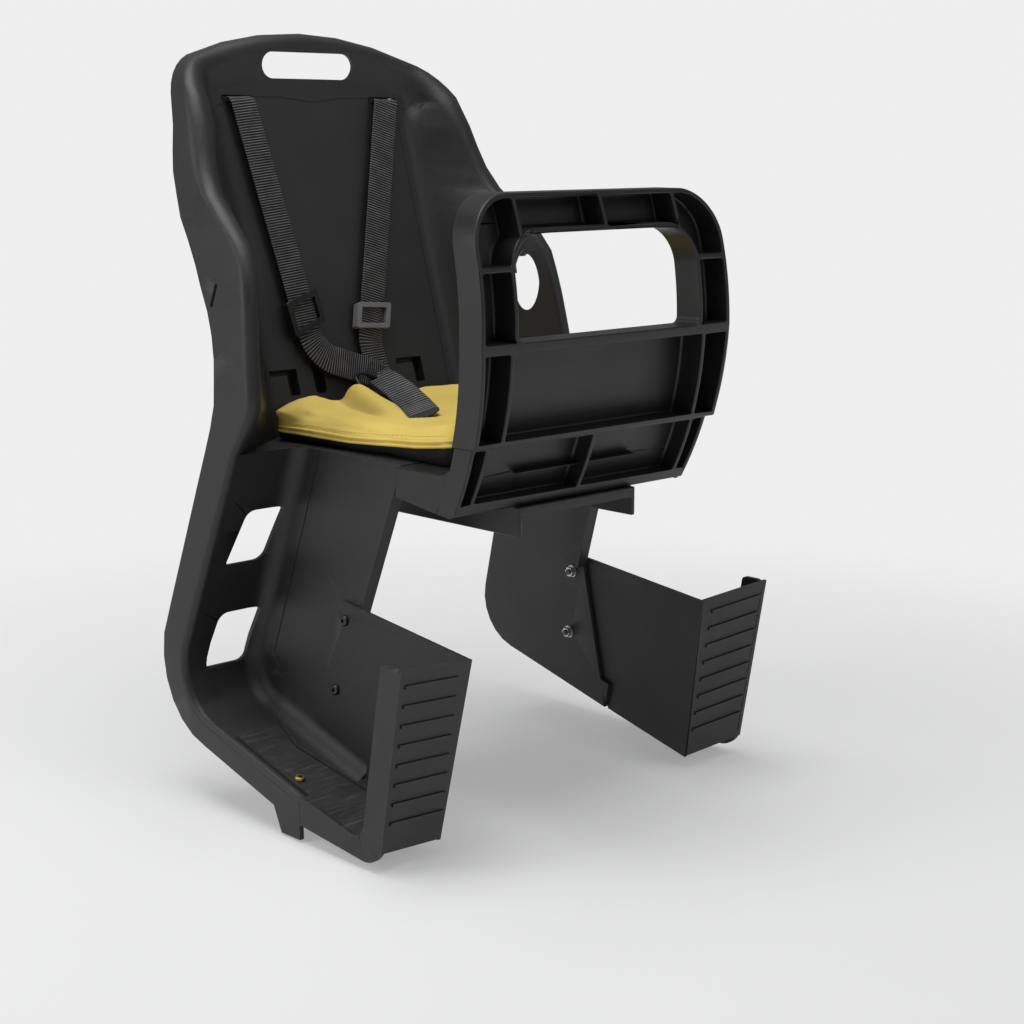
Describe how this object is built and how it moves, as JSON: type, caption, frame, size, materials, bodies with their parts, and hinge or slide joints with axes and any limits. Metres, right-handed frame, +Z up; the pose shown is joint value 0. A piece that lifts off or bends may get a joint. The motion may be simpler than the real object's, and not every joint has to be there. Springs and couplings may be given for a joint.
{
  "type": "child bike seat",
  "caption": "Child seat for a bicycle's rear rack: high-backed black shell with leg wells, ribbed front guard with a hand window, toe boxes, yellow cushion and webbing harness.",
  "frame": {"origin": "middle of the base's underside, where it lies on the rack", "axes": "+Z up, the seat faces -Y, +X is the child's left"},
  "size_m": [0.422, 0.3998, 0.6366],
  "materials": {
    "shell_plastic": "fine-grained",
    "guard_plastic": "satin",
    "footrest_plastic": "satin",
    "cushion_cover": "soft",
    "webbing": "ribbed weave",
    "adjuster_plastic": "semi-gloss",
    "steel": "zinc-plated",
    "dark_steel": "blackened",
    "brass": "worn"
  },
  "bodies": {
    "seat": {"seat_shell": "shell_plastic", "front_guard": "guard_plastic", "right_footrest": "footrest_plastic", "left_footrest": "footrest_plastic", "seat_cushion": "cushion_cover", "right_shoulder_strap": "webbing", "left_shoulder_strap": "webbing", "harness_tongue": "webbing", "strap_keeper": "adjuster_plastic", "right_strap_pin": "steel", "left_strap_pin": "steel", "footrest_wall_screws": "dark_steel", "footrest_floor_screws": "brass", "footrest_washers": "steel", "footrest_nuts": "steel", "shell_screws": "steel", "shell_washers": "steel", "shell_nuts": "steel"},
    "right_adjuster": {"right_strap_adjuster": "adjuster_plastic"},
    "left_adjuster": {"left_strap_adjuster": "adjuster_plastic"}
  },
  "joints": [
    {"name": "right_adjuster_slide", "type": "slide", "parent": "seat", "child": "right_adjuster", "axis": [-0.1082, 0.2774, 0.9547], "range_m": [0, 0.12]},
    {"name": "left_adjuster_slide", "type": "slide", "parent": "seat", "child": "left_adjuster", "axis": [0.3177, 0.2645, 0.9106], "range_m": [0, 0.12]}
  ]
}
